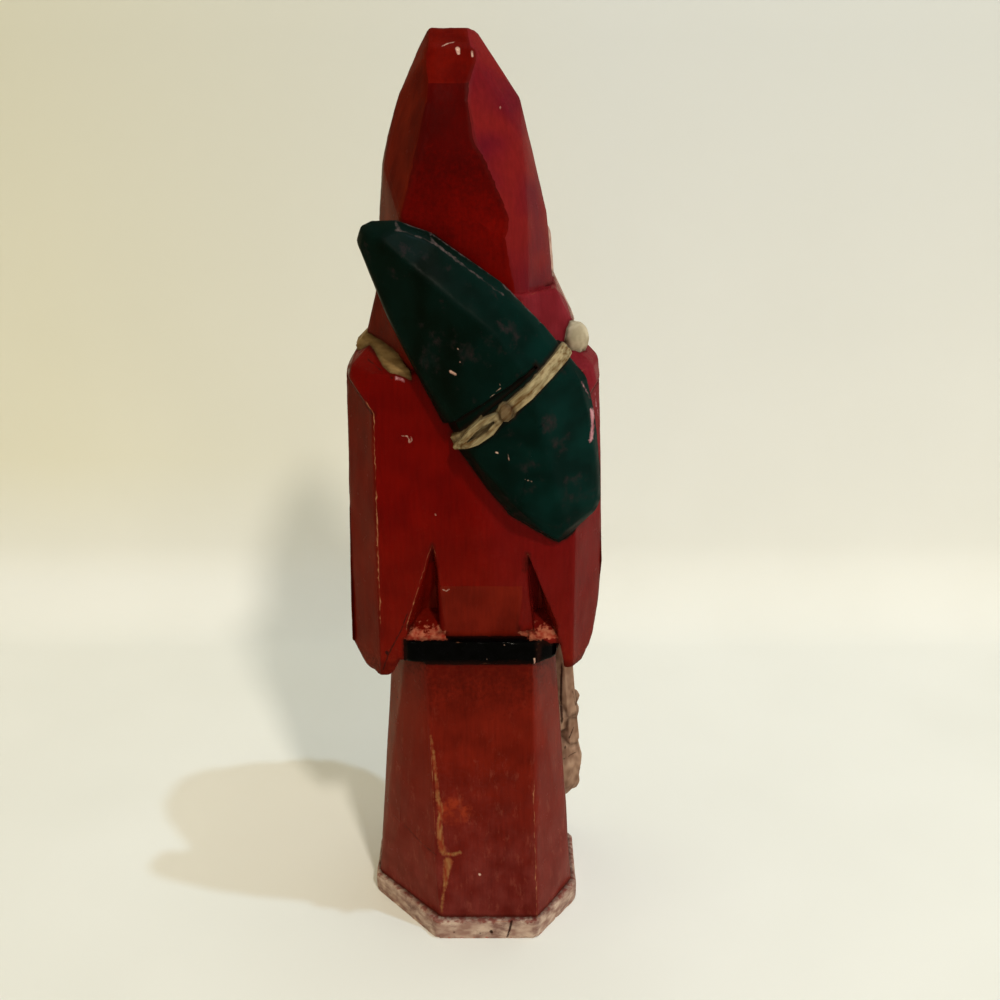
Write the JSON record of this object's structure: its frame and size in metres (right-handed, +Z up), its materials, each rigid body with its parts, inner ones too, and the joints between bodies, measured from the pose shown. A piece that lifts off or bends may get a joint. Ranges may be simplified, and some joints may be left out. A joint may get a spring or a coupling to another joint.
{
  "type": "carved santa figure",
  "caption": "Standing wooden Santa carved in flat knife facets, with a pointed cap, a sack tied across the back and a toy bear in one hand.",
  "frame": {"origin": "centre of the flat underside, on the table", "axes": "+Z up through the figure, -Y the way it faces, +X to its own left"},
  "size_m": [0.0569, 0.0559, 0.203],
  "materials": {
    "painted_wood": "hand-painted in satin red, dark green, off-white, tan and gloss black, rubbed through to the wood along the edges"
  },
  "bodies": {
    "root": {"santa_figure": "painted_wood"}
  },
  "joints": []
}
